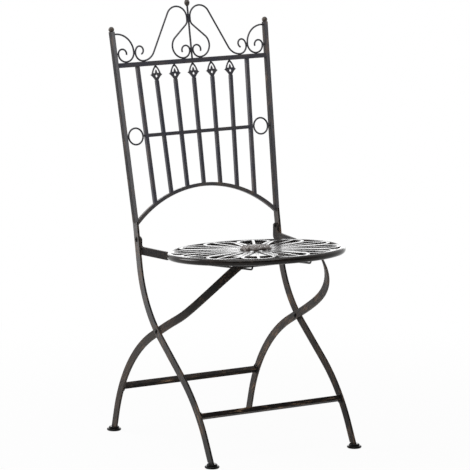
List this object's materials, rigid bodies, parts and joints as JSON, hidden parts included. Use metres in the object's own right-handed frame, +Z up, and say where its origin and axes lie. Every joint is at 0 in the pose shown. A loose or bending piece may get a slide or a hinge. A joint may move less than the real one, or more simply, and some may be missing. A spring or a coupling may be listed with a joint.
{
  "type": "folding metal garden chair",
  "caption": "Folding metal garden chair with a wrought scrollwork back of spear-topped bars, a round openwork petal seat that flips up, and crossing curved flat-bar legs that fold together.",
  "frame": {"origin": "on the floor below the middle of the chair's box", "axes": "+Z up, front of the seat towards -Y, +X to the right for someone facing the chair's front"},
  "size_m": [0.4188, 0.5369, 0.9838],
  "materials": {
    "back_paint": "dark charcoal lacquer with rubbed bronze edges",
    "leg_paint": "dark charcoal lacquer with rubbed bronze streaks",
    "seat_paint": "glossy dark charcoal lacquer",
    "rosette_paint": "rubbed bronze over charcoal lacquer",
    "finial_paint": "rubbed bronze over charcoal lacquer",
    "rivet_heads": "dark lacquer",
    "foot_pads": "black, slightly shiny"
  },
  "bodies": {
    "back_frame": {"arch_rail": "back_paint", "ball_finial_left": "finial_paint", "ball_finial_right": "finial_paint", "corner_scroll_left": "back_paint", "corner_scroll_right": "back_paint", "crest_bud": "finial_paint", "crest_rod": "back_paint", "crest_scroll_left": "back_paint", "crest_scroll_right": "back_paint", "cross_rail": "back_paint", "fold_rivets": "rivet_heads", "front_foot_left": "foot_pads", "front_foot_right": "foot_pads", "front_leg_left": "leg_paint", "front_leg_right": "leg_paint", "front_stretcher": "leg_paint", "inner_bar_left": "back_paint", "inner_bar_right": "back_paint", "seat_rivets": "rivet_heads", "side_ring_left": "back_paint", "side_ring_right": "back_paint", "spear_bar_1": "back_paint", "spear_bar_2": "back_paint", "spear_bar_3": "back_paint", "spear_bar_4": "back_paint", "spear_bar_5": "back_paint", "spear_head_1": "back_paint", "spear_head_2": "back_paint", "spear_head_3": "back_paint", "spear_head_4": "back_paint", "spear_head_5": "back_paint", "stile_left": "back_paint", "stile_right": "back_paint", "top_rail": "back_paint"},
    "rear_legs": {"rear_foot_left": "foot_pads", "rear_foot_right": "foot_pads", "rear_leg_left": "leg_paint", "rear_leg_right": "leg_paint", "rear_stretcher": "leg_paint"},
    "seat": {"seat_arm_left": "seat_paint", "seat_arm_right": "seat_paint", "seat_hoop": "seat_paint", "seat_petal_1": "seat_paint", "seat_petal_10": "seat_paint", "seat_petal_11": "seat_paint", "seat_petal_12": "seat_paint", "seat_petal_2": "seat_paint", "seat_petal_3": "seat_paint", "seat_petal_4": "seat_paint", "seat_petal_5": "seat_paint", "seat_petal_6": "seat_paint", "seat_petal_7": "seat_paint", "seat_petal_8": "seat_paint", "seat_petal_9": "seat_paint", "seat_rim": "seat_paint", "seat_rosette": "rosette_paint", "guide_wire_left": "seat_paint", "guide_wire_right": "seat_paint"},
    "glide": {"glide_bar": "seat_paint"}
  },
  "joints": [
    {"name": "fold", "type": "hinge", "parent": "back_frame", "child": "rear_legs", "pos_m": [0, 0.05266, 0.26533], "axis": [-1, 0, 0], "range_deg": [0, 61.5]},
    {"name": "seat_hinge", "type": "hinge", "parent": "back_frame", "child": "seat", "pos_m": [0, 0.13768, 0.46151], "axis": [-1, 0, 0], "range_deg": [0, 96.18]},
    {"name": "glide_slide", "type": "slide", "parent": "seat", "child": "glide", "axis": [0, 0.9957, -0.0924], "range_m": [0, 0.2309]}
  ],
  "couplings": [
    {"joint": "seat_hinge", "follows": "fold", "ratio": 1.5632},
    {"joint": "glide_slide", "follows": "fold", "m_per_rad": 0.21495}
  ]
}
